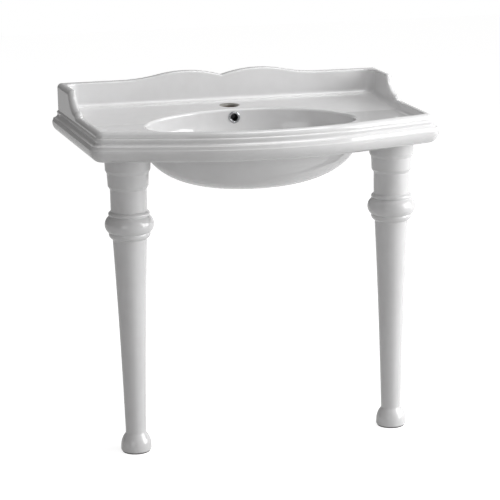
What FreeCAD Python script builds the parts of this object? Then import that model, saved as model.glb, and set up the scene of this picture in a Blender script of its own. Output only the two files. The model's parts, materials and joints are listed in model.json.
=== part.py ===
import FreeCAD, Part
import Sketcher
import math
import os

# Console basin in white china on two turned hollow legs, fixed to a wall.
# Frame: X to the right, Y to the wall, Z up. The origin is on the wall plane, midway between
# the two wall-fixing holes. Heights in the sheet are measured from the floor, and distances
# along Y from the wall plane. Millimetres.

SIZES = {
    # slab plan
    "wall_half_width": 428.5,
    "side_taper": 1.9,
    "bow_depth": 579.0,
    "bow_rad": 668.0,
    "flank_angle": 18.3,
    "corner_rad": 20.0,
    # slab heights and thicknesses
    "fixing_height": 755.0,
    "rim_height": 804.0,
    "lip_drop": 21.0,
    "deck_thick": 12.0,
    "ledge_height": 798.0,
    "ledge_front": 250.0,
    "skirt_height": 735.0,
    "skirt_wall": 14.0,
    "lip_width": 19.0,
    "lip_outer_round": 11.5,
    "lip_inner_round": 5.5,
    "deck_cove": 12.0,
    "inner_corner_rad": 14.0,
    # moulded edge
    "mould_reach": 16.5,
    "mould_top": 790.0,
    "mould_bead": 785.5,
    "mould_bead_reach": 3.6,
    "mould_bead_rad": 4.6,
    "mould_groove": 779.5,
    "mould_groove_reach": 2.4,
    "mould_shoulder": 772.5,
    "mould_shoulder_reach": 13.0,
    "mould_cove_rad": 12.0,
    "mould_shelf": 766.0,
    "mould_shelf_reach": 14.8,
    "mould_nose": 763.5,
    "mould_belly": 758.5,
    "mould_under_rad": 27.0,
    # splashes
    "splash_height": 859.0,
    "splash_thick": 20.0,
    "rear_corner_rad": 30.0,
    "step_back": 144.0,
    "step_front": 224.0,
    "step_share": 0.82,
    "hump_height": 877.0,
    "hump_offset": 98.0,
    "hump_rad": 327.0,
    "hump_foot": 265.0,
    "cusp_rad": 4.0,
    # bowl
    "bowl_back": 312.0,
    "bowl_half_width": 262.0,
    "bowl_half_depth": 171.0,
    "bowl_drop": 146.0,
    "bowl_rim_round": 6.0,
    "shell_half_width": 281.0,
    "shell_half_depth": 186.0,
    "shell_drop": 159.0,
    "bowl_side_power": 2.72,
    "bowl_drop_power": 2.32,
    # holes
    "tap_hole_rad": 17.5,
    "tap_hole_back": 92.0,
    "tap_hole_round": 9.0,
    "outlet_rad": 23.0,
    "outlet_back": 265.0,
    "outlet_boss_rad": 36.0,
    "outlet_boss_height": 621.0,
    "wall_hole_rad": 11.0,
    "wall_hole_half_pitch": 140.0,
    "rear_web": 16.0,
    # overflow
    "overflow_height": 768.5,
    "overflow_seat_back": 139.0,
    "ring_rad": 15.0,
    "ring_thick": 5.0,
    "ring_lip_round": 1.6,
    "ring_tube_rad": 11.0,
    "ring_bore_rad": 9.5,
    "ring_tube_length": 8.5,
    "sleeve_rad": 12.5,
    "sleeve_length": 8.0,
    "seat_gap": 0.4,
    "duct_width": 64.0,
    "duct_thick": 18.0,
    "duct_bury": 3.0,
    "duct_top": 778.0,
    "passage_width": 44.0,
    "passage_thick": 8.0,
    "passage_top": 776.0,
    # leg bosses and ribs
    "leg_half_pitch": 330.0,
    "leg_back": 405.0,
    "boss_rad": 56.0,
    "socket_rad": 20.0,
    "socket_depth": 26.0,
    "rib_thick": 12.0,
    "rib_height": 745.0,
    "rib_in": 262.0,
    "rib_out": 402.0,
    # leg outside, heights from the floor
    "pad_height": 2.5,
    "gasket_thick": 2.0,
    "foot_base_rad": 35.0,
    "foot_rad": 37.2,
    "foot_edge": 6.5,
    "foot_belly": 14.0,
    "foot_neck": 44.0,
    "foot_neck_rad": 27.1,
    "foot_bell_rad": 50.0,
    "foot_cove_rad": 9.0,
    "shaft_base": 51.0,
    "shaft_base_rad": 24.7,
    "shaft_top": 530.0,
    "shaft_top_rad": 41.0,
    "shaft_curve_rad": 19000.0,
    "collar_cove_top": 536.5,
    "collar_cove_rad": 6.0,
    "low_ring_rad": 45.2,
    "low_ring_top": 549.5,
    "low_ring_bead": 12.0,
    "ball_edge_rad": 49.4,
    "ball_top": 589.0,
    "ball_bead": 25.0,
    "ball_groove_rad": 47.8,
    "ball_groove": 590.5,
    "bead_top": 599.5,
    "bead_bead": 6.0,
    "neck_base": 602.5,
    "neck_rad": 43.7,
    "neck_top": 655.0,
    "lower_collar": 663.0,
    "lower_collar_rad": 48.8,
    "lower_collar_top": 693.0,
    "lower_collar_top_rad": 50.2,
    "upper_collar": 702.0,
    "upper_collar_rad": 54.2,
    "upper_collar_top_rad": 55.2,
    "collar_round": 1.3,
    # leg inside
    "head_bore_rad": 34.0,
    "head_bore_depth": 28.0,
    "neck_bore_rad": 30.0,
    "neck_bore_base": 540.0,
    "shaft_bore_rad": 15.5,
    "shaft_bore_base": 30.0,
    "recess_rad": 24.0,
    "recess_top": 18.5,
    "rod_hole_rad": 6.5,
    # leg hardware
    "rod_rad": 5.0,
    "rod_base": 4.5,
    "rod_top": 755.0,
    "insert_length": 24.0,
    "bush_thick": 20.0,
    "bush_hub_rad": 12.0,
    "bush_hub_drop": 10.0,
    "bush_gap": 0.3,
    "gasket_inner_rad": 36.0,
    "gasket_rad": 52.0,
    "plate_rad": 22.0,
    "plate_thick": 4.0,
    "nut_flats": 17.0,
    "nut_thick": 8.0,
    "foot_pad_inner_rad": 26.0,
    "foot_pad_rad": 34.0,
}

doc = FreeCAD.newDocument("console_sink")
sheet = doc.addObject("Spreadsheet::Sheet", "dims")
for row, (alias, number) in enumerate(SIZES.items(), start=1):
    sheet.set("A%d" % row, alias)
    sheet.set("B%d" % row, str(number))
    sheet.setAlias("B%d" % row, alias)
doc.recompute()


class Term:
    """A length formula: its text for the document, and its value for the first guess."""

    def __init__(self, text, value):
        self.text = text
        self.value = value

    def joined(self, sign, other, value):
        return Term("(%s %s %s)" % (self.text, sign, term(other).text), value)

    def __add__(self, other):
        return self.joined("+", other, self.value + term(other).value)

    def __sub__(self, other):
        return self.joined("-", other, self.value - term(other).value)

    def __mul__(self, other):
        return self.joined("*", other, self.value * term(other).value)

    def __truediv__(self, other):
        return self.joined("/", other, self.value / term(other).value)

    def __neg__(self):
        return Term("(0 - %s)" % self.text, -self.value)


def term(number):
    return number if isinstance(number, Term) else Term("%.6f" % number, float(number))


def size(alias):
    return Term("dims." + alias, SIZES[alias])


def power(base, exponent):
    base, exponent = term(base), term(exponent)
    return Term("pow(%s; %s)" % (base.text, exponent.text), base.value ** exponent.value)


def root(square):
    return Term("sqrt(%s)" % square.text, math.sqrt(square.value))


def sine(angle):
    angle = term(angle)
    return Term("sin(%s)" % angle.text, math.sin(math.radians(angle.value)))


def cosine(angle):
    angle = term(angle)
    return Term("cos(%s)" % angle.text, math.cos(math.radians(angle.value)))


def bind(thing, path, value):
    thing.setExpression(path, term(value).text)


def vector(x, y):
    return FreeCAD.Vector(term(x).value, term(y).value, 0)


# ---------------------------------------------------------------- sketches and features

def new_body(label, x=0.0, y=0.0, z=None):
    body = doc.addObject("PartDesign::Body", label + "_body")
    body.Label = label
    drop = -size("fixing_height") if z is None else z
    for axis, value in (("x", x), ("y", y), ("z", drop)):
        bind(body, "Placement.Base." + axis, value)
    return body


def new_sketch(body, name, plane, offset=None):
    sketch = body.newObject("Sketcher::SketchObject", name)
    support = [item for item in body.Origin.OriginFeatures if item.Role == plane][0]
    sketch.AttachmentSupport = [(support, "")]
    sketch.MapMode = "FlatFace"
    if offset is not None:
        bind(sketch, "AttachmentOffset.Base.z", offset)
    return sketch


def constrain(sketch, label, value, kind, *where):
    value = term(value)
    number = math.radians(value.value) if kind == "Angle" else value.value
    index = sketch.addConstraint(Sketcher.Constraint(kind, *where, number))
    sketch.renameConstraint(index, label)
    bind(sketch, "Constraints." + label, value)


def pin_point(sketch, label, geo, pos, point):
    constrain(sketch, label + "_x", point[0], "DistanceX", -1, 1, geo, pos)
    constrain(sketch, label + "_y", point[1], "DistanceY", -1, 1, geo, pos)


def draw_chain(sketch, points, arcs=None, closed=True):
    """Lines through the points. arcs maps an edge's index to (radius, side): side 1 bows the
    edge to the left of its direction, and -1 to the right."""
    arcs = arcs or {}
    count = len(points)
    ends = []
    for index in range(count if closed else count - 1):
        start, stop = points[index], points[(index + 1) % count]
        head, tail = vector(*start), vector(*stop)
        if index not in arcs:
            geo = sketch.addGeometry(Part.LineSegment(head, tail), False)
            ends.append((geo, 1, 2))
            continue
        rad, side = arcs[index]
        rad = term(rad)
        chord = tail - head
        left = FreeCAD.Vector(-chord.y, chord.x, 0).normalize()
        reach = math.sqrt(max(rad.value ** 2 - (chord.Length / 2) ** 2, 0.0))
        centre = (head + tail) * 0.5 - left * (side * reach)
        circle = Part.Circle(centre, FreeCAD.Vector(0, 0, 1), rad.value)
        first, last = (tail, head) if side > 0 else (head, tail)
        angles = [math.atan2(p.y - centre.y, p.x - centre.x) for p in (first, last)]
        geo = sketch.addGeometry(Part.ArcOfCircle(circle, angles[0], angles[1]), False)
        ends.append((geo, 2, 1) if side > 0 else (geo, 1, 2))
        constrain(sketch, "rad_%d" % index, rad, "Radius", geo)
    for index, (geo, first, last) in enumerate(ends):
        pin_point(sketch, "p_%d" % index, geo, first, points[index])
        if index + 1 < len(ends):
            after = ends[index + 1]
            sketch.addConstraint(Sketcher.Constraint("Coincident", geo, last, after[0], after[1]))
        elif closed:
            sketch.addConstraint(Sketcher.Constraint("Coincident", geo, last, ends[0][0], ends[0][1]))
        else:
            pin_point(sketch, "p_end", geo, last, points[-1])
    return sketch


def draw_circle(sketch, label, x, y, rad):
    circle = Part.Circle(vector(x, y), FreeCAD.Vector(0, 0, 1), term(rad).value)
    geo = sketch.addGeometry(circle, False)
    pin_point(sketch, label, geo, 3, (x, y))
    constrain(sketch, label + "_rad", rad, "Radius", geo)


def draw_box(sketch, low_x, high_x, low_y, high_y):
    draw_chain(sketch, [(low_x, low_y), (high_x, low_y), (high_x, high_y), (low_x, high_y)])


def draw_ellipse(sketch, y, half_x, half_y):
    ellipse = Part.Ellipse(vector(0, y), term(half_x).value, term(half_y).value)
    geo = sketch.addGeometry(ellipse, False)
    sketch.exposeInternalGeometry(geo)
    sketch.addConstraint(Sketcher.Constraint("Horizontal", geo + 1))
    constrain(sketch, "long_axis", term(half_x) * 2, "Distance", geo + 1)
    constrain(sketch, "short_axis", term(half_y) * 2, "Distance", geo + 2)
    pin_point(sketch, "centre", geo, 3, (0, y))


def solid_of(body):
    doc.recompute()
    return body.Shape


def add_feature(body, kind, name, sign, **settings):
    """Adds a feature and checks that it really added to the solid (1) or cut it (-1)."""
    before = body.Shape.Volume if body.Tip else 0.0
    feature = body.newObject("PartDesign::" + kind, name)
    for key, value in settings.items():
        if isinstance(value, Term):
            bind(feature, key, value)
        else:
            setattr(feature, key, value)
    after = solid_of(body).Volume
    if (after - before) * sign <= 0:
        raise RuntimeError("%s: volume went from %.1f to %.1f" % (name, before, after))
    return feature


def pad(body, name, sketch, length, **more):
    return add_feature(body, "Pad", name, 1, Profile=sketch, Length=length, **more)


def pocket(body, name, sketch, length, **more):
    return add_feature(body, "Pocket", name, -1, Profile=sketch, Length=length, **more)


def edges_where(shape, test):
    return ["Edge%d" % (i + 1) for i, edge in enumerate(shape.Edges) if test(edge)]


def round_edges(body, name, names, rad):
    if not names:
        raise RuntimeError(name + ": no edges found")
    before = body.Shape.Volume
    tip = body.Tip
    feature = body.newObject("PartDesign::Fillet", name)
    feature.Base = (tip, names)
    bind(feature, "Radius", rad)
    after = solid_of(body).Volume
    if abs(after - before) < 1.0:
        raise RuntimeError(name + ": nothing was rounded")
    return feature


def middle(edge):
    return edge.valueAt((edge.FirstParameter + edge.LastParameter) / 2)


# ---------------------------------------------------------------- slab plan

def slab_tan():
    return sine(size("side_taper")) / cosine(size("side_taper"))


def plan_half_width(back):
    """Half the slab's width at a distance in front of the wall."""
    return size("wall_half_width") - term(back) * slab_tan()


def plan_front(x):
    """Distance from the wall to the slab's front at x, on the straight flank."""
    flank = size("flank_angle")
    fall = size("bow_rad") * (term(1) - cosine(flank))
    run = (term(x) - size("bow_rad") * sine(flank)) * (sine(flank) / cosine(flank))
    return size("bow_depth") - fall - run


def plan_sketch(body, name, height, inset, corner, back, half=False):
    """The slab's plan, drawn in by inset: tapered sides, rounded corners, straight flanks and
    a bowed middle, closed by a line parallel to the wall. half gives the open right half."""
    sketch = new_sketch(body, name, "XY_Plane", height)
    inset, corner, back = term(inset), term(corner), term(back)
    bow = size("bow_rad") - inset
    bow_y = size("bow_rad") - size("bow_depth")
    side_end = plan_half_width(back) - inset / cosine(size("side_taper"))
    turn = math.radians(SIZES["flank_angle"])
    taper = math.radians(SIZES["side_taper"])
    start = (side_end.value, -back.value)
    tangent = (bow.value * math.sin(turn), bow_y.value - bow.value * math.cos(turn))
    lean, slope = math.tan(taper), math.tan(turn)
    run = start[0] - lean * start[1]
    meet_y = (tangent[1] + (run - tangent[0]) * slope) / (1 - lean * slope)
    meet = (run + lean * meet_y, meet_y)
    opening = math.pi / 2 + turn + taper
    setback = corner.value / math.tan(opening / 2)
    reach = math.hypot(corner.value, setback)
    aim = math.pi - opening / 2 + turn
    centre = (meet[0] + reach * math.cos(aim), meet[1] + reach * math.sin(aim))
    beside = (meet[0] + setback * math.sin(taper), meet[1] + setback * math.cos(taper))
    ahead = (meet[0] - setback * math.cos(turn), meet[1] - setback * math.sin(turn))
    up = FreeCAD.Vector(0, 0, 1)

    def at(point, mirror=1):
        return FreeCAD.Vector(point[0] * mirror, point[1], 0)

    def line(first, second, mirror=1):
        sketch.addGeometry(Part.LineSegment(at(first, mirror), at(second, mirror)), False)

    def arc(middle_point, rad, low, high, mirror=1):
        ends = [math.atan2(p[1] - middle_point[1], (p[0] - middle_point[0]) * mirror)
                for p in (low, high)]
        circle = Part.Circle(at(middle_point, mirror), up, rad)
        sketch.addGeometry(Part.ArcOfCircle(circle, ends[0], ends[1]), False)

    def join(*pairs):
        for first, second in pairs:
            sketch.addConstraint(Sketcher.Constraint("Tangent", *first, *second))

    bow_centre = (0.0, bow_y.value)
    line(start, beside)
    arc(centre, corner.value, ahead, beside)
    line(ahead, tangent)
    apex = (0.0, bow_y.value - bow.value)
    arc(bow_centre, bow.value, apex if half else (-tangent[0], tangent[1]), tangent)
    join(((0, 2), (1, 2)), ((1, 1), (2, 1)), ((2, 2), (3, 2)))
    pin_point(sketch, "rear_right", 0, 1, (side_end, -back))
    pin_point(sketch, "bow_centre", 3, 3, (0, bow_y))
    constrain(sketch, "bow", bow, "Radius", 3)
    constrain(sketch, "corner_right", corner, "Radius", 1)
    flank_x = bow * sine(size("flank_angle"))
    constrain(sketch, "flank_right", flank_x, "DistanceX", -1, 1, 2, 2)
    constrain(sketch, "side_right", term(270) - size("side_taper"), "Angle", 0)
    if half:
        constrain(sketch, "apex", 0, "DistanceX", -1, 1, 3, 1)
        return sketch
    line(tangent, ahead, -1)
    arc(centre, corner.value, beside, ahead, -1)
    line(beside, start, -1)
    sketch.addGeometry(Part.LineSegment(at(start, -1), at(start)), False)
    join(((3, 1), (4, 1)), ((4, 2), (5, 2)), ((5, 1), (6, 1)))
    sketch.addConstraint(Sketcher.Constraint("Coincident", 6, 2, 7, 1))
    sketch.addConstraint(Sketcher.Constraint("Coincident", 7, 2, 0, 1))
    pin_point(sketch, "rear_left", 6, 2, (-side_end, -back))
    constrain(sketch, "corner_left", corner, "Radius", 5)
    constrain(sketch, "flank_left", -flank_x, "DistanceX", -1, 1, 4, 1)
    constrain(sketch, "side_left", term(90) + size("side_taper"), "Angle", 6)
    return sketch


# ---------------------------------------------------------------- basin

basin = new_body("basin")
sky = size("hump_height") + 20

# The block that the slab, lip and splashes are cut from.
block = plan_sketch(basin, "block_plan", size("skirt_height"), 0, size("corner_rad"), 0)
pad(basin, "block", block, size("hump_height") + 2 - size("skirt_height"))

# Side elevation: the high splash falls in an ogee to the low lip, most of it the upper curve.
step_run = size("step_front") - size("step_back")
step_fall = size("splash_height") - size("rim_height")
step_rads = (step_run * step_run + step_fall * step_fall) / (step_fall * 2)
step_mid = (-(size("step_back") + step_run * size("step_share")),
            size("splash_height") - step_fall * size("step_share"))
upper_rad = step_rads * size("step_share")
far_front = -(size("bow_depth") + 60)
elevation = new_sketch(basin, "side_elevation", "YZ_Plane")
draw_chain(elevation, [
    (far_front, size("rim_height")),
    (-size("step_front"), size("rim_height")),
    step_mid,
    (-size("step_back"), size("splash_height")),
    (-size("step_back"), sky),
    (far_front, sky),
], {1: (step_rads - upper_rad, 1), 2: (upper_rad, -1)})
pocket(basin, "side_steps", elevation, size("wall_half_width") * 4, SideType="Symmetric")

# Front elevation: two humps with a cusp between them, falling to level shoulders.
hump_low = size("hump_height") - size("hump_rad")
hump_fall = size("hump_height") - size("splash_height")
hump_run = size("hump_foot") - size("hump_offset")
rad_sum = (hump_run * hump_run + hump_fall * hump_fall) / (hump_fall * 2)
foot_rad = rad_sum - size("hump_rad")
share = size("hump_rad") / rad_sum
bend = (size("hump_offset") + hump_run * share, hump_low + (rad_sum - hump_fall) * share)
cusp_reach = size("hump_rad") + size("cusp_rad")
cusp_low = hump_low + root(cusp_reach * cusp_reach - size("hump_offset") * size("hump_offset"))
cusp_share = size("hump_rad") / cusp_reach
cusp_side = (size("hump_offset") - size("hump_offset") * cusp_share,
             hump_low + (cusp_low - hump_low) * cusp_share)
edge_x = size("wall_half_width") + 60
crest = new_sketch(basin, "front_elevation", "XZ_Plane")
draw_chain(crest, [
    (-edge_x, size("splash_height")),
    (-size("hump_foot"), size("splash_height")),
    (-bend[0], bend[1]),
    (-cusp_side[0], cusp_side[1]),
    (cusp_side[0], cusp_side[1]),
    (bend[0], bend[1]),
    (size("hump_foot"), size("splash_height")),
    (edge_x, size("splash_height")),
    (edge_x, sky),
    (-edge_x, sky),
], {1: (foot_rad, -1), 2: (size("hump_rad"), 1), 3: (size("cusp_rad"), -1),
    4: (size("hump_rad"), 1), 5: (foot_rad, -1)})
pocket(basin, "crest", crest, size("bow_depth") * 3, SideType="Symmetric")

# The deck, sunk below the lip and between the splashes.
deck_height = size("rim_height") - size("lip_drop")
tray = plan_sketch(basin, "deck_plan", sky, size("lip_width"), size("inner_corner_rad"),
                   size("splash_thick"))
pocket(basin, "deck", tray, sky - deck_height)

# Tap ledge: the rear of the deck rises gently to the back splash.
ledge_back = size("splash_thick") - 5
ledge_line = new_sketch(basin, "tap_ledge_line", "YZ_Plane")
draw_chain(ledge_line, [
    (-ledge_back, deck_height - 3),
    (-ledge_back, size("ledge_height")),
    (-size("ledge_front"), deck_height),
    (-size("ledge_front"), deck_height - 3),
])
pad(basin, "tap_ledge", ledge_line, (plan_half_width(size("ledge_front")) - 8) * 2,
    SideType="Symmetric")


def upright(edge):
    first, last = edge.Vertexes[0].Point, edge.Vertexes[-1].Point
    flat = math.hypot(first.x - last.x, first.y - last.y)
    return flat < 0.01 and abs(first.z - last.z) > 1


def floor_z(height):
    """A height from the floor as the number it has in the finished document."""
    return term(height).value - SIZES["fixing_height"]


basin_shape = solid_of(basin)
rear_corners = edges_where(basin_shape, lambda edge: upright(edge)
                           and abs(middle(edge).y + SIZES["splash_thick"]) < 0.1
                           and abs(middle(edge).x) > SIZES["hump_foot"])
round_edges(basin, "rear_corner_rounds", rear_corners, size("rear_corner_rad"))

# Soft cove where the deck turns up into the lip and the splashes.
deck_z = floor_z(deck_height)
ledge_rise = (SIZES["ledge_height"] - deck_height.value) / (SIZES["ledge_front"] - ledge_back.value)


def on_deck(point):
    """True where the point lies on the flat deck or on the tap ledge."""
    height = deck_z + max(point.y + SIZES["ledge_front"], 0) * ledge_rise
    return abs(point.z - height) < 0.01


def cove_edge(edge):
    crease = all(abs(vertex.Y + SIZES["ledge_front"]) < 0.01 for vertex in edge.Vertexes)
    return (on_deck(middle(edge)) and not crease
            and all(on_deck(vertex.Point) for vertex in edge.Vertexes))


round_edges(basin, "deck_cove", edges_where(solid_of(basin), cove_edge), size("deck_cove"))


# Rounded top edges: the outer roll, then the inner one.
outer_plan = block.Shape.copy()
rim_z = floor_z(size("rim_height"))


def plan_gap(edge, plan):
    """How far the edge's middle lies from a plan outline, seen from above."""
    point = middle(edge)
    height = plan.BoundBox.ZMin
    return plan.distToShape(Part.Vertex(point.x, point.y, height))[0]


def outer_edge(edge):
    return (edge.BoundBox.ZMin > rim_z - 0.01 and middle(edge).y < -0.5 and not upright(edge)
            and plan_gap(edge, outer_plan) < 0.05)


outer_edges = edges_where(solid_of(basin), outer_edge)
round_edges(basin, "outer_roll", outer_edges, size("lip_outer_round"))


def inner_edge(edge):
    """True on a top edge that has open air just inside and below it."""
    if edge.BoundBox.ZMin < rim_z - 0.01 or middle(edge).y > -0.5 or upright(edge):
        return False
    point = middle(edge)
    inward = FreeCAD.Vector(-point.x, -SIZES["bowl_back"] - point.y, 0).normalize()
    probe = point + inward * 0.4 - FreeCAD.Vector(0, 0, 0.4)
    return not basin.Shape.isInside(probe, 1e-4, True)


inner_edges = edges_where(solid_of(basin), inner_edge)
round_edges(basin, "inner_roll", inner_edges, size("lip_inner_round"))

# Moulded edge, swept along half the plan and mirrored.
overlap = 7.0
behind = 4.0
route = plan_sketch(basin, "mould_route", size("rim_height"), 0, size("corner_rad"), -behind,
                    half=True)
front = -size("bow_depth")
profile = new_sketch(basin, "mould_profile", "YZ_Plane")
draw_chain(profile, [
    (front + overlap, size("mould_top")),
    (front, size("mould_top")),
    (front - size("mould_bead_reach"), size("mould_bead")),
    (front - size("mould_groove_reach"), size("mould_groove")),
    (front - size("mould_shoulder_reach"), size("mould_shoulder")),
    (front - size("mould_shelf_reach"), size("mould_shelf")),
    (front - size("mould_reach"), size("mould_nose")),
    (front - size("mould_reach"), size("mould_belly")),
    (front, size("skirt_height")),
    (front + overlap, size("skirt_height")),
], {1: (size("mould_bead_rad"), -1), 3: (size("mould_cove_rad"), 1),
    7: (size("mould_under_rad"), -1)})
mould = add_feature(basin, "AdditivePipe", "mould_right", 1, Profile=profile, Spine=(route, []))
mirrored = basin.newObject("PartDesign::Mirrored", "mould_both")
mirrored.Originals = [mould]
mirror_plane = [item for item in basin.Origin.OriginFeatures if item.Role == "YZ_Plane"][0]
mirrored.MirrorPlane = (mirror_plane, [""])
basin.Tip = mirrored
solid_of(basin)
trim = new_sketch(basin, "wall_trim", "XZ_Plane")
draw_box(trim, -edge_x, edge_x, size("skirt_height") - 40, sky)
pocket(basin, "wall_plane", trim, 40.0, Reversed=False)

# Underside: hollow behind the skirt, with the rear web left standing at the wall.
under_height = deck_height - size("deck_thick")
hollow = plan_sketch(basin, "hollow_plan", size("skirt_height"), size("skirt_wall"),
                     size("corner_rad") - size("skirt_wall"), size("rear_web"))
pocket(basin, "hollow", hollow, under_height - size("skirt_height"), Reversed=True)

# Bosses over the legs, and the ribs that cross at them.
bosses = new_sketch(basin, "boss_plan", "XY_Plane", size("skirt_height"))
for side, label in ((-1, "left"), (1, "right")):
    draw_circle(bosses, label, size("leg_half_pitch") * side, -size("leg_back"), size("boss_rad"))
into_deck = size("deck_thick") / 4
pad(basin, "leg_bosses", bosses, under_height - size("skirt_height") + into_deck)
half_rib = size("rib_thick") / 2
for side, label in ((-1, "left"), (1, "right")):
    near = size("leg_half_pitch") * side - half_rib
    far = size("leg_half_pitch") * side + half_rib
    long_rib = new_sketch(basin, label + "_long_rib_plan", "XY_Plane", size("rib_height"))
    draw_box(long_rib, near, far,
             size("skirt_wall") / 2 - plan_front(size("leg_half_pitch") - half_rib),
             -size("rear_web") / 2)
    pad(basin, label + "_long_rib", long_rib, under_height - size("rib_height") + into_deck)
    cross_rib = new_sketch(basin, label + "_cross_rib_plan", "XY_Plane", size("rib_height"))
    reach = sorted((size("rib_in") * side, size("rib_out") * side), key=lambda item: item.value)
    draw_box(cross_rib, reach[0], reach[1], -size("leg_back") - half_rib,
             -size("leg_back") + half_rib)
    pad(basin, label + "_cross_rib", cross_rib,
        under_height - size("rib_height") + into_deck)


# ---------------------------------------------------------------- bowl

def bowl_section(angle, half_x, half_y, drop):
    """Height and half axes of one ring of the bowl. angle runs from 0 at the deck to 90."""
    spread = power(cosine(angle), term(2) / size("bowl_side_power"))
    depth = power(sine(angle), term(2) / size("bowl_drop_power"))
    return deck_height - drop * depth, half_x * spread, half_y * spread


def bowl_loft(kind, name, sign, angles, half_x, half_y, drop, mouth=None):
    rings = []
    if mouth is not None:
        rings.append(new_sketch(basin, name + "_mouth", "XY_Plane", mouth))
        draw_ellipse(rings[0], -size("bowl_back"), half_x, half_y)
    for index, angle in enumerate(angles):
        height, wide, deep = bowl_section(angle, half_x, half_y, drop)
        ring = new_sketch(basin, "%s_ring_%d" % (name, index), "XY_Plane", height)
        draw_ellipse(ring, -size("bowl_back"), wide, deep)
        rings.append(ring)
    doc.recompute()
    add_feature(basin, kind, name, sign, Profile=rings[0], Sections=rings[1:], Ruled=False)


bowl_rings = (12, 25, 38, 50, 62, 73, 82, 87)
bowl_loft("AdditiveLoft", "bowl_shell", 1, (1,) + bowl_rings, size("shell_half_width"),
          size("shell_half_depth"), size("shell_drop"))

# Boss round the waste outlet, set towards the wall and level with the bowl's underside.
outlet_boss = new_sketch(basin, "outlet_boss_plan", "XY_Plane", size("outlet_boss_height"))
draw_circle(outlet_boss, "boss", 0, -size("outlet_back"), size("outlet_boss_rad"))
bowl_floor = deck_height - size("bowl_drop")
pad(basin, "outlet_boss", outlet_boss, bowl_floor + 4 - size("outlet_boss_height"))


duct_reach = size("shell_half_depth") - size("duct_bury")


def duct_route(name, top, angles):
    """Overflow route in the middle plane: straight down, then round the back of the bowl."""
    points = []
    for angle in angles:
        height, _, run = bowl_section(angle, size("shell_half_width"), duct_reach,
                                      size("shell_drop") - size("duct_bury"))
        points.append((run - size("bowl_back"), height))
    points.insert(0, (points[0][0], top))
    path = new_sketch(basin, name, "YZ_Plane")
    draw_chain(path, points, closed=False)
    return path, points[0][0]


def duct(kind, name, sign, top, width, thick, angles):
    path, back = duct_route(name + "_route", top, angles)
    section = new_sketch(basin, name + "_section", "XY_Plane", top)
    draw_box(section, -width / 2, width / 2, back - thick / 2, back + thick / 2)
    doc.recompute()
    add_feature(basin, kind, name, sign, Profile=section, Spine=(path, []),
                Transition="Right corner")


duct_angles = (8, 20, 32, 44, 56, 66, 74)
duct("AdditivePipe", "overflow_duct", 1, size("duct_top"), size("duct_width"),
     size("duct_thick"), duct_angles)
bowl_loft("SubtractiveLoft", "bowl_hollow", -1, (0,) + bowl_rings, size("bowl_half_width"),
          size("bowl_half_depth"), size("bowl_drop"), size("ledge_height") + 4)
duct("SubtractivePipe", "overflow_passage", -1, size("passage_top"), size("passage_width"),
     size("passage_thick"), duct_angles + (78,))
below_boss = size("outlet_boss_height") - 20
outlet = new_sketch(basin, "outlet_plan", "XY_Plane", below_boss)
draw_circle(outlet, "hole", 0, -size("outlet_back"), size("outlet_rad"))
pocket(basin, "outlet_hole", outlet, bowl_floor + 20 - below_boss, Reversed=True)

# Rolled rim where the deck turns down into the bowl.
def rim_edge(edge):
    spots = [middle(edge)] + [vertex.Point for vertex in edge.Vertexes]
    return all(on_deck(spot) and abs(math.hypot(spot.x / SIZES["bowl_half_width"],
                                                (spot.y + SIZES["bowl_back"])
                                                / SIZES["bowl_half_depth"]) - 1) < 0.004
               for spot in spots)


round_edges(basin, "bowl_rim", edges_where(solid_of(basin), rim_edge), size("bowl_rim_round"))


def drill(name, plane, offset, holes, depth, **more):
    plan = new_sketch(basin, name + "_plan", plane, offset)
    for index, (x, y, rad) in enumerate(holes):
        draw_circle(plan, "hole_%d" % index, x, y, rad)
    return pocket(basin, name, plan, depth, **more)


drill("tap_hole", "XY_Plane", size("ledge_height"),
      [(0, -size("tap_hole_back"), size("tap_hole_rad"))], size("ledge_height") - under_height + 2)
tap_edge = edges_where(solid_of(basin), lambda edge: edge.BoundBox.ZMin > deck_z
                       and abs(edge.BoundBox.XLength - 2 * SIZES["tap_hole_rad"]) < 0.1)
round_edges(basin, "tap_hole_round", tap_edge, size("tap_hole_round"))

# Overflow: a flat seat in the back of the bowl, and a hole from it into the passage.
ring_seat = [(0, size("overflow_height"), size("ring_rad") + size("seat_gap"))]
drill("overflow_seat", "XZ_Plane", size("overflow_seat_back"), ring_seat,
      size("ring_thick") * 3, Reversed=True)
passage_run = bowl_section(8, size("shell_half_width"), duct_reach, size("shell_drop"))[2]
drill("overflow_hole", "XZ_Plane", size("overflow_seat_back"),
      [(0, size("overflow_height"), size("sleeve_rad"))],
      size("overflow_seat_back") - size("bowl_back") + passage_run)

# Wall-fixing holes through the rear web, and the sockets over the legs.
drill("wall_holes", "XZ_Plane", size("rear_web") + 4,
      [(size("wall_hole_half_pitch") * side, size("fixing_height"), size("wall_hole_rad"))
       for side in (-1, 1)], size("rear_web") + 8)
drill("leg_sockets", "XY_Plane", size("skirt_height"),
      [(size("leg_half_pitch") * side, -size("leg_back"), size("socket_rad"))
       for side in (-1, 1)], size("socket_depth"), Reversed=True)


# ---------------------------------------------------------------- turned pieces

def turned(label, x, y, points, arcs=None, z=None, plane="XZ_Plane", axis="V_Axis"):
    body = new_body(label, x, y, z)
    outline = new_sketch(body, label + "_outline", plane)
    draw_chain(outline, points, arcs)
    add_feature(body, "Revolution", label + "_turned", 1, Profile=outline,
                ReferenceAxis=(outline, [axis]), Angle=360.0)
    return body


def ring_points(inner, outer, low, high):
    return [(inner, low), (outer, low), (outer, high), (inner, high)]


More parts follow.
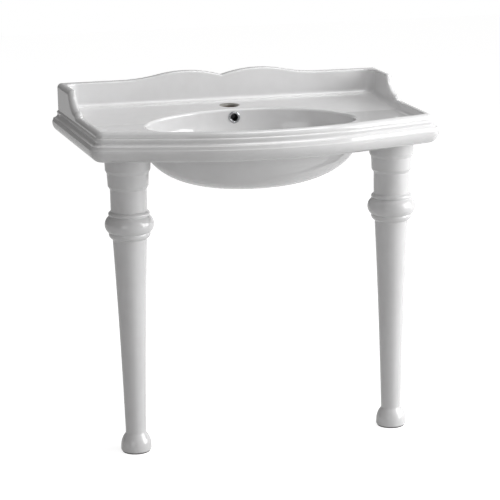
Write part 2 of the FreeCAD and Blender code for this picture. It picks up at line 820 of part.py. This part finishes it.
ring_thick = size("ring_thick")
edge_round = size("ring_lip_round")
overflow_z = size("overflow_height") - size("fixing_height")
overflow_ring = turned("overflow_ring", 0, -size("overflow_seat_back"), [
    (size("ring_tube_length"), size("ring_bore_rad")),
    (size("ring_tube_length"), size("ring_tube_rad")),
    (0, size("ring_tube_rad")),
    (0, size("ring_rad")),
    (edge_round - ring_thick, size("ring_rad")),
    (-ring_thick, size("ring_rad") - edge_round),
    (-ring_thick, size("ring_bore_rad") + edge_round),
    (edge_round - ring_thick, size("ring_bore_rad")),
], {4: (edge_round, 1), 6: (edge_round, 1)}, overflow_z, "YZ_Plane", "H_Axis")
overflow_sleeve = turned("overflow_sleeve", 0, -size("overflow_seat_back"), [
    (0, size("ring_tube_rad")),
    (size("sleeve_length"), size("ring_tube_rad")),
    (size("sleeve_length"), size("sleeve_rad")),
    (0, size("sleeve_rad")),
], None, overflow_z, "YZ_Plane", "H_Axis")

head_top = size("skirt_height") - size("gasket_thick")
ledge = head_top - size("head_bore_depth")
LEG_OUTLINE = [
    (size("foot_base_rad"), size("pad_height")),
    (size("foot_rad"), size("foot_edge")),
    (size("foot_rad"), size("foot_belly")),
    (size("foot_neck_rad"), size("foot_neck")),
    (size("shaft_base_rad"), size("shaft_base")),
    (size("shaft_top_rad"), size("shaft_top")),
    (size("low_ring_rad"), size("collar_cove_top")),
    (size("ball_edge_rad"), size("low_ring_top")),
    (size("ball_edge_rad"), size("ball_top")),
    (size("ball_groove_rad"), size("ball_groove")),
    (size("ball_groove_rad"), size("bead_top")),
    (size("neck_rad"), size("neck_base")),
    (size("neck_rad"), size("neck_top")),
    (size("lower_collar_rad"), size("lower_collar")),
    (size("lower_collar_top_rad"), size("lower_collar_top")),
    (size("upper_collar_rad"), size("upper_collar")),
    (size("upper_collar_top_rad"), head_top),
    (size("head_bore_rad"), head_top),
    (size("head_bore_rad"), ledge),
    (size("neck_bore_rad"), ledge),
    (size("neck_bore_rad"), size("neck_bore_base")),
    (size("shaft_bore_rad"), size("shaft_bore_base")),
    (size("rod_hole_rad"), size("shaft_bore_base")),
    (size("rod_hole_rad"), size("recess_top")),
    (size("recess_rad"), size("recess_top")),
    (size("recess_rad"), size("pad_height")),
]
LEG_ARCS = {
    0: (5.0, -1),
    2: (size("foot_bell_rad"), -1),
    3: (size("foot_cove_rad"), 1),
    4: (size("shaft_curve_rad"), 1),
    5: (size("collar_cove_rad"), 1),
    6: (size("low_ring_bead"), -1),
    7: (size("ball_bead"), -1),
    9: (size("bead_bead"), -1),
}


def leg(label, x, y):
    body = turned(label, x, y, LEG_OUTLINE, LEG_ARCS)
    low, high = floor_z(size("neck_top")) - 1, floor_z(head_top) + 1

    def collar_edge(edge):
        box = edge.BoundBox
        return (box.ZLength < 0.01 and low < middle(edge).z < high
                and box.XLength > 2 * SIZES["neck_rad"] - 1)

    round_edges(body, label + "_collar_rounds", edges_where(body.Shape, collar_edge),
                size("collar_round"))
    return body


def nut(label, x, y):
    body = new_body(label, x, y)
    top = size("recess_top") - size("plate_thick")
    plan = new_sketch(body, label + "_plan", "XY_Plane", top - size("nut_thick"))
    corner = size("nut_flats") / (cosine(30) * 2)
    draw_chain(plan, [(corner * cosine(turn), corner * sine(turn))
                      for turn in (0, 60, 120, 180, 240, 300)])
    draw_circle(plan, "bore", 0, 0, size("rod_rad"))
    pad(body, label + "_pad", plan, size("nut_thick"))
    return body


pieces = [basin, overflow_ring, overflow_sleeve]
for side, hand in ((-1, "left_"), (1, "right_")):
    spot = (size("leg_half_pitch") * side, -size("leg_back"))
    rod, tip = size("rod_rad"), term(1)
    bush_hole = rod + size("bush_gap")
    bush_rim = size("head_bore_rad") - size("bush_gap")
    plate_top = size("recess_top")
    pieces += [
        leg(hand + "leg", *spot),
        turned(hand + "leg_insert", *spot,
               ring_points(rod, size("socket_rad"), size("skirt_height"),
                           size("skirt_height") + size("insert_length"))),
        turned(hand + "tie_rod", *spot, [
            (0, size("rod_base")),
            (rod - tip, size("rod_base")),
            (rod, size("rod_base") + tip),
            (rod, size("rod_top") - tip),
            (rod - tip, size("rod_top")),
            (0, size("rod_top")),
        ]),
        turned(hand + "leg_bush", *spot, [
            (bush_hole, ledge - size("bush_hub_drop")),
            (size("bush_hub_rad"), ledge - size("bush_hub_drop")),
            (size("bush_hub_rad"), ledge),
            (bush_rim, ledge),
            (bush_rim, ledge + size("bush_thick")),
            (bush_hole, ledge + size("bush_thick")),
        ]),
        turned(hand + "top_gasket", *spot,
               ring_points(size("gasket_inner_rad"), size("gasket_rad"), head_top,
                           size("skirt_height"))),
        turned(hand + "foot_plate", *spot,
               ring_points(rod + size("bush_gap"), size("plate_rad"),
                           plate_top - size("plate_thick"), plate_top)),
        nut(hand + "foot_nut", *spot),
        turned(hand + "foot_pad", *spot,
               ring_points(size("foot_pad_inner_rad"), size("foot_pad_rad"), 0,
                           size("pad_height"))),
    ]

# ---------------------------------------------------------------- checks and files

doc.recompute()
for item in doc.Objects:
    if any(word in item.State for word in ("Invalid", "Error")):
        raise RuntimeError("%s failed: %s" % (item.Name, item.State))
for piece in pieces:
    if piece.Shape.isNull() or not piece.Shape.isValid() or len(piece.Shape.Solids) != 1:
        raise RuntimeError(piece.Label + " is not one valid solid")
os.makedirs("parts", exist_ok=True)
for piece in pieces:
    piece.Shape.exportStep(os.path.join("parts", piece.Label + ".step"))
    box = piece.Shape.BoundBox
    print("%-18s %8.1f cm3  z %.1f to %.1f" % (piece.Label, piece.Shape.Volume / 1000,
                                             box.ZMin, box.ZMax))
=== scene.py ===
import json
import math

import bpy
from mathutils import Matrix, Vector

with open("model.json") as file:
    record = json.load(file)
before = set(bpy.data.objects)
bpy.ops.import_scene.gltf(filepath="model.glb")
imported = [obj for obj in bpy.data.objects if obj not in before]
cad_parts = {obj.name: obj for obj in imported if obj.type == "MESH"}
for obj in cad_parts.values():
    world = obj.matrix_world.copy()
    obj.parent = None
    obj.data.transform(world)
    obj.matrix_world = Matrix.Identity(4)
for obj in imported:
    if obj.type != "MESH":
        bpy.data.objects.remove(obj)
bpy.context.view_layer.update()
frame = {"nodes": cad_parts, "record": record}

# Console basin in glazed white china on two turned legs, against a plain pale studio.
# Metres, X to the right, Y to the wall, Z up, the origin midway between the wall fixings.

FLOOR_Z = -0.755
NO_LIMIT = -1.0  # a lower end that a distance never reaches

# Where the glaze stops, and where painted shade darkens the tap hole. A pair is the range that
# a bare or shaded patch fills or fades across.
WALL_FACE_Y = (-0.0006, -0.0002)
SOLE_Z = (FLOOR_Z + 0.003, FLOOR_Z + 0.0034)
HOLLOW_Z = (-0.019, 0.0164)
HOLLOW_Y = (-0.40, -0.001)
HOLLOW_HALF_WIDTH = 0.392
TAP_HOLE = (0.0, -0.092)
TAP_ROUND = (0.0260, 0.0268)
TAP_BORE = (0.0177, 0.0195)

# Overflow: the ring in the back of the bowl, and the passage behind it; painted shade fills the
# passage and the ring's bore with black.
OVERFLOW_Z = 0.0135
RING_BORE = (0.0097, 0.0103)
RING_FACE_Y = (-0.1430, -0.1420)
PASSAGE_Y = (-0.1347, -0.1195)
PASSAGE_Z = (-0.16, 0.0215)
PASSAGE_HALF_WIDTH = 0.0225


# ---------------------------------------------------------------- node helpers

class Tree:
    """Short ways to add and join the nodes of one material or world."""

    def __init__(self, owner):
        owner.use_nodes = True
        self.tree = owner.node_tree
        self.tree.nodes.clear()

    def add(self, kind, **settings):
        node = self.tree.nodes.new(kind)
        for key, value in settings.items():
            setattr(node, key, value)
        return node

    def join(self, source, socket):
        if hasattr(source, "is_output"):
            self.tree.links.new(source, socket)
        else:
            socket.default_value = source

    def math(self, operation, first, second=0.0):
        node = self.add("ShaderNodeMath", operation=operation)
        self.join(first, node.inputs[0])
        self.join(second, node.inputs[1])
        return node.outputs[0]

    def spread(self, value, low, high, start=0.0, end=1.0):
        """Goes smoothly from start to end while the value goes from low to high."""
        node = self.add("ShaderNodeMapRange", interpolation_type="SMOOTHSTEP")
        for index, item in enumerate((value, low, high, start, end)):
            self.join(item, node.inputs[index])
        return node.outputs[0]

    def mix(self, share, first, second):
        node = self.add("ShaderNodeMix", data_type="RGBA")
        self.join(share, node.inputs[0])
        self.join(first, node.inputs[6])
        self.join(second, node.inputs[7])
        return node.outputs[2]

    def mix_value(self, share, first, second):
        node = self.add("ShaderNodeMix", data_type="FLOAT")
        self.join(share, node.inputs[0])
        self.join(first, node.inputs[2])
        self.join(second, node.inputs[3])
        return node.outputs[0]

    def noise(self, where, scale, detail=2.0, rough=0.5, stretch=None):
        if stretch is not None:
            mapping = self.add("ShaderNodeMapping")
            self.join(where, mapping.inputs["Vector"])
            mapping.inputs["Scale"].default_value = stretch
            where = mapping.outputs[0]
        node = self.add("ShaderNodeTexNoise")
        self.join(where, node.inputs["Vector"])
        node.inputs["Scale"].default_value = scale
        node.inputs["Detail"].default_value = detail
        node.inputs["Roughness"].default_value = rough
        return node.outputs["Fac"]

    def bump(self, height, distance, strength, under=None):
        node = self.add("ShaderNodeBump")
        self.join(height, node.inputs["Height"])
        node.inputs["Distance"].default_value = distance
        node.inputs["Strength"].default_value = strength
        if under is not None:
            self.join(under, node.inputs["Normal"])
        return node.outputs[0]

    def place(self):
        """The point on the object, in metres, whole and as its three coordinates."""
        coordinates = self.add("ShaderNodeTexCoord").outputs["Object"]
        split = self.add("ShaderNodeSeparateXYZ")
        self.join(coordinates, split.inputs[0])
        return coordinates, split.outputs[0], split.outputs[1], split.outputs[2]

    def within(self, value, low, high, soft=0.0004):
        """1 where the value lies between low and high, with a soft edge."""
        above = self.spread(value, low - soft, low + soft)
        below = self.spread(value, high - soft, high + soft, 1.0, 0.0)
        return self.math("MULTIPLY", above, below)


def finish_material(name, build):
    material = bpy.data.materials.new(name)
    tree = Tree(material)
    shader = tree.add("ShaderNodeBsdfPrincipled")
    output = tree.add("ShaderNodeOutputMaterial")
    build(tree, shader)
    tree.join(shader.outputs[0], output.inputs["Surface"])
    return material


# ---------------------------------------------------------------- materials

GLAZE = (0.80, 0.80, 0.803, 1.0)
GLAZE_SHADE = (0.765, 0.763, 0.765, 1.0)
BISCUIT = (0.70, 0.68, 0.62, 1.0)
BISCUIT_DARK = (0.60, 0.575, 0.52, 1.0)
TAP_EDGE_BARE_AND_SHADE = (0.20, 0.195, 0.175, 1.0)
TAP_BORE_PAINTED_SHADE = (0.10, 0.075, 0.06, 1.0)
PAINTED_SHADE_BLACK = (0.004, 0.004, 0.004, 1.0)
CHROME_DARK = (0.60, 0.61, 0.63, 1.0)
CHROME_LIGHT = (0.78, 0.79, 0.81, 1.0)


def china(tree, shader):
    """Thick white glaze that lies in slow waves, on a biscuit body that shows where the glaze
    stops: the wall face, the hollow under the deck, the holes and the soles of the feet.
    Painted shade darkens the tap hole's bare rounding and its bore, and paints the overflow
    passage black."""
    where, x, y, z = tree.place()
    cloud = tree.noise(where, 7.0, 3.0)
    pool = tree.noise(where, 38.0, 2.0)
    tone = tree.mix_value(0.35, cloud, pool)
    colour = tree.mix(tree.spread(tone, 0.35, 0.65), GLAZE_SHADE, GLAZE)
    speck = tree.noise(where, 900.0, 1.0)
    colour = tree.mix(tree.spread(speck, 0.77, 0.80, 0.0, 0.35), colour, BISCUIT_DARK)

    wall_face = tree.spread(y, *WALL_FACE_Y)
    sole = tree.spread(z, *SOLE_Z, 1.0, 0.0)
    off_x = tree.math("SUBTRACT", x, TAP_HOLE[0])
    off_y = tree.math("SUBTRACT", y, TAP_HOLE[1])
    square = tree.math("ADD", tree.math("MULTIPLY", off_x, off_x),
                       tree.math("MULTIPLY", off_y, off_y))
    from_tap = tree.math("SQRT", square)
    tap_rounding_bare_and_shade = tree.spread(from_tap, *TAP_ROUND, 1.0, 0.0)
    tap_bore_shade = tree.spread(from_tap, *TAP_BORE, 1.0, 0.0)
    under = tree.within(z, *HOLLOW_Z)
    behind_skirt = tree.within(y, *HOLLOW_Y)
    inside = tree.within(tree.math("ABSOLUTE", x), NO_LIMIT, HOLLOW_HALF_WIDTH)
    hollow = tree.math("MULTIPLY", under, tree.math("MULTIPLY", behind_skirt, inside))
    facing = tree.add("ShaderNodeSeparateXYZ")
    tree.join(tree.add("ShaderNodeNewGeometry").outputs["True Normal"], facing.inputs[0])
    ceiling = tree.spread(facing.outputs[2], -0.9, -0.7, 1.0, 0.0)
    bare = tree.math("MAXIMUM", tree.math("MAXIMUM", wall_face, sole),
                     tree.math("MAXIMUM", tap_rounding_bare_and_shade, tree.math("MULTIPLY", hollow, ceiling)))
    grain = tree.noise(where, 420.0, 4.0, 0.6)
    biscuit = tree.mix(tree.spread(grain, 0.3, 0.7), BISCUIT_DARK, BISCUIT)
    colour = tree.mix(bare, colour, biscuit)
    # Painted shade: the bare rounding of the tap hole is darkened well below the biscuit
    # colour.
    colour = tree.mix(tree.math("MULTIPLY", tap_rounding_bare_and_shade, 0.9), colour, TAP_EDGE_BARE_AND_SHADE)
    # Painted shade: the bore of the tap hole is painted near black.
    colour = tree.mix(tree.math("MULTIPLY", tap_bore_shade, 0.9), colour, TAP_BORE_PAINTED_SHADE)

    # Painted shade: the overflow passage behind the ring is painted black.
    passage = tree.math("MULTIPLY", tree.within(y, *PASSAGE_Y),
                        tree.within(z, *PASSAGE_Z))
    passage = tree.math("MULTIPLY", passage,
                        tree.within(tree.math("ABSOLUTE", x), NO_LIMIT, PASSAGE_HALF_WIDTH))
    tree.join(tree.mix(passage, colour, PAINTED_SHADE_BLACK), shader.inputs["Base Color"])

    gloss = tree.spread(tree.noise(where, 16.0, 3.0), 0.3, 0.7, 0.04, 0.08)
    tree.join(tree.mix_value(bare, gloss, 0.78), shader.inputs["Roughness"])
    shader.inputs["IOR"].default_value = 1.5
    shader.inputs["Coat Weight"].default_value = 0.6
    shader.inputs["Coat Roughness"].default_value = 0.03
    slow = tree.bump(tree.noise(where, 9.0, 1.0), 0.0016, 0.5)
    peel = tree.bump(tree.noise(where, 130.0, 2.0), 0.00010, 0.35, slow)
    rough = tree.math("MULTIPLY", grain, bare)
    tree.join(tree.bump(rough, 0.0005, 0.6, peel), shader.inputs["Normal"])


def chrome(tree, shader):
    """Bright plated ring with a little lime on it, and a bore painted black as shade."""
    where, x, y, z = tree.place()
    haze = tree.noise(where, 240.0, 3.0)
    shader.inputs["Metallic"].default_value = 1.0
    off_z = tree.math("SUBTRACT", z, OVERFLOW_Z)
    square = tree.math("ADD", tree.math("MULTIPLY", x, x),
                       tree.math("MULTIPLY", off_z, off_z))
    # Painted shade: the bore of the ring is painted black.
    bore = tree.math("MULTIPLY",
                     tree.spread(tree.math("SQRT", square), *RING_BORE, 1.0, 0.0),
                     tree.spread(y, *RING_FACE_Y))
    plate = tree.mix(haze, CHROME_DARK, CHROME_LIGHT)
    tree.join(tree.mix(bore, plate, PAINTED_SHADE_BLACK), shader.inputs["Base Color"])
    tree.join(tree.spread(haze, 0.3, 0.75, 0.04, 0.12), shader.inputs["Roughness"])
    lime = tree.noise(where, 1500.0, 2.0)
    tree.join(tree.bump(lime, 0.00004, 0.3), shader.inputs["Normal"])


def machined(bright, dull, polish, turned):
    """Metal with the fine lines that turning or drawing leaves."""
    def build(tree, shader):
        where, _, _, _ = tree.place()
        lines = tree.noise(where, 90.0, 4.0, 0.6, turned)
        stain = tree.noise(where, 60.0, 3.0)
        shader.inputs["Metallic"].default_value = 1.0
        tree.join(tree.mix(tree.spread(stain, 0.35, 0.7), bright, dull),
                  shader.inputs["Base Color"])
        tree.join(tree.spread(lines, 0.3, 0.7, polish, polish + 0.18),
                  shader.inputs["Roughness"])
        tree.join(tree.bump(lines, 0.00008, 0.5), shader.inputs["Normal"])
    return build


def moulded(light, dark, polish, grain_scale, depth):
    """Rubber or nylon with a fine moulded grain."""
    def build(tree, shader):
        where, _, _, _ = tree.place()
        grain = tree.noise(where, grain_scale, 3.0, 0.6)
        bloom = tree.noise(where, 45.0, 2.0)
        tree.join(tree.mix(tree.spread(bloom, 0.3, 0.7), dark, light),
                  shader.inputs["Base Color"])
        tree.join(tree.spread(grain, 0.3, 0.7, polish - 0.08, polish + 0.08),
                  shader.inputs["Roughness"])
        tree.join(tree.bump(grain, depth, 0.5), shader.inputs["Normal"])
    return build


MATERIALS = {
    "china": finish_material("glazed_china", china),
    "chrome": finish_material("polished_chrome", chrome),
    "brass": finish_material("turned_brass", machined(
        (0.78, 0.62, 0.33, 1.0), (0.55, 0.40, 0.19, 1.0), 0.26, (1.0, 1.0, 30.0))),
    "steel": finish_material("drawn_steel", machined(
        (0.66, 0.67, 0.69, 1.0), (0.46, 0.46, 0.47, 1.0), 0.24, (1.0, 1.0, 26.0))),
    "nylon": finish_material("moulded_nylon", moulded(
        (0.86, 0.86, 0.84, 1.0), (0.79, 0.78, 0.75, 1.0), 0.5, 700.0, 0.0001)),
    "rubber": finish_material("moulded_rubber", moulded(
        (0.060, 0.058, 0.055, 1.0), (0.030, 0.030, 0.030, 1.0), 0.68, 900.0, 0.00015)),
}

for part in frame["record"]["subparts"]:
    node = frame["nodes"][part["node"]]
    if not node.material_slots:
        node.data.materials.append(None)
    for material_slot in node.material_slots:
        material_slot.material = MATERIALS[part["material_slot"]]


# ---------------------------------------------------------------- studio

WHITE = (1.0, 1.0, 1.0, 1.0)
WARM_WHITE = (1.0, 0.965, 0.955, 1.0)
FLOOR_GREY = (0.55, 0.55, 0.55, 1.0)
FLOOR_GLOW = 0.84

# The studio is dim on the left of the object and bright on the right.
WORLD_LEFT, WORLD_RIGHT = 0.16, 0.44

def seen_directly(tree, side=None):
    """1 on rays that come straight, or off a mirror or through glass, to the picture."""
    path = tree.add("ShaderNodeLightPath")
    straight = tree.math("MAXIMUM", path.outputs["Is Camera Ray"],
                         path.outputs["Is Transmission Ray"])
    glossy = path.outputs["Is Glossy Ray"]
    if side is not None:
        glossy = tree.math("MULTIPLY", glossy, side)
    return tree.math("MAXIMUM", straight, glossy)


def studio_world():
    world = bpy.data.worlds.new("studio")
    bpy.context.scene.world = world
    tree = Tree(world)
    split = tree.add("ShaderNodeSeparateXYZ")
    tree.join(tree.add("ShaderNodeTexCoord").outputs["Generated"], split.inputs[0])
    level = tree.spread(split.outputs[0], -0.5, 0.9, WORLD_LEFT, WORLD_RIGHT)
    side = tree.spread(split.outputs[0], -0.1, 0.8)
    strength = tree.mix_value(seen_directly(tree, side), level, 1.0)
    background = tree.add("ShaderNodeBackground")
    tree.join(strength, background.inputs["Strength"])
    tint = tree.mix(tree.spread(split.outputs[0], -0.6, 0.4), WARM_WHITE, WHITE)
    tree.join(tree.mix(seen_directly(tree), tint, WHITE), background.inputs["Color"])
    output = tree.add("ShaderNodeOutputWorld")
    tree.join(background.outputs[0], output.inputs["Surface"])


def studio_floor(half=9.0, steps=8):
    corners = [(half * (2 * i / steps - 1), half * (2 * j / steps - 1), FLOOR_Z)
               for j in range(steps + 1) for i in range(steps + 1)]
    row = steps + 1
    faces = [(j * row + i, j * row + i + 1, (j + 1) * row + i + 1, (j + 1) * row + i)
             for j in range(steps) for i in range(steps)]
    mesh = bpy.data.meshes.new("floor")
    mesh.from_pydata(corners, [], faces)
    floor = bpy.data.objects.new("floor", mesh)
    bpy.context.scene.collection.objects.link(floor)
    material = bpy.data.materials.new("pale_floor")
    tree = Tree(material)
    matt = tree.add("ShaderNodeBsdfDiffuse")
    matt.inputs["Color"].default_value = FLOOR_GREY
    glow = tree.add("ShaderNodeEmission")
    _, across, _, _ = tree.place()
    side = tree.spread(across, -1.0, 2.5, 0.35, 0.8)
    tree.join(tree.math("MULTIPLY", seen_directly(tree, side), FLOOR_GLOW),
              glow.inputs["Strength"])
    both = tree.add("ShaderNodeAddShader")
    tree.join(matt.outputs[0], both.inputs[0])
    tree.join(glow.outputs[0], both.inputs[1])
    output = tree.add("ShaderNodeOutputMaterial")
    tree.join(both.outputs[0], output.inputs["Surface"])
    mesh.materials.append(material)


def soft_box(name, place, target, wide, high, power):
    """An area lamp that faces its target, in metres and watts."""
    lamp = bpy.data.lights.new(name, "AREA")
    lamp.shape = "RECTANGLE"
    lamp.size = wide
    lamp.size_y = high
    lamp.energy = power
    box = bpy.data.objects.new(name, lamp)
    box.location = place
    box.visible_camera = False
    aim = Vector(target) - Vector(place)
    box.rotation_euler = aim.to_track_quat("-Z", "Y").to_euler()
    bpy.context.scene.collection.objects.link(box)


def camera(azimuth, elevation, roll, lens, place):
    """Camera that looks that many degrees to the right and down, with a lens in millimetres."""
    turn, dip = math.radians(azimuth), math.radians(elevation)
    ahead = Vector((math.sin(turn) * math.cos(dip), math.cos(turn) * math.cos(dip),
                    -math.sin(dip)))
    right = Vector((math.cos(turn), -math.sin(turn), 0.0))
    up = right.cross(ahead)
    tilt = math.radians(roll)
    side = right * math.cos(tilt) + up * math.sin(tilt)
    top = up * math.cos(tilt) - right * math.sin(tilt)
    lens_data = bpy.data.cameras.new("camera")
    lens_data.sensor_width = 36.0
    lens_data.lens = lens
    lens_data.clip_end = 60.0
    holder = bpy.data.objects.new("camera", lens_data)
    turned = Matrix((side, top, -ahead)).transposed()
    holder.matrix_world = Matrix.Translation(place) @ turned.to_4x4()
    bpy.context.scene.collection.objects.link(holder)
    bpy.context.scene.camera = holder


bpy.context.scene.view_settings.view_transform = "Standard"
camera(14.67, 13.178, -0.91, 129.126, Vector((-1.111982, -4.525359, 0.724953)))
studio_world()
studio_floor()
soft_box("key", (4.0, -1.75, 1.0), (0.0, -0.3, -0.1), 3.4, 3.4, 173.0)
soft_box("top", (0.55, -0.8, 2.0), (0.25, -0.3, 0.0), 1.4, 0.9, 17.0)
soft_box("fill", (-2.9, -4.4, 0.3), (0.0, -0.4, -0.2), 2.2, 2.4, 24.0)
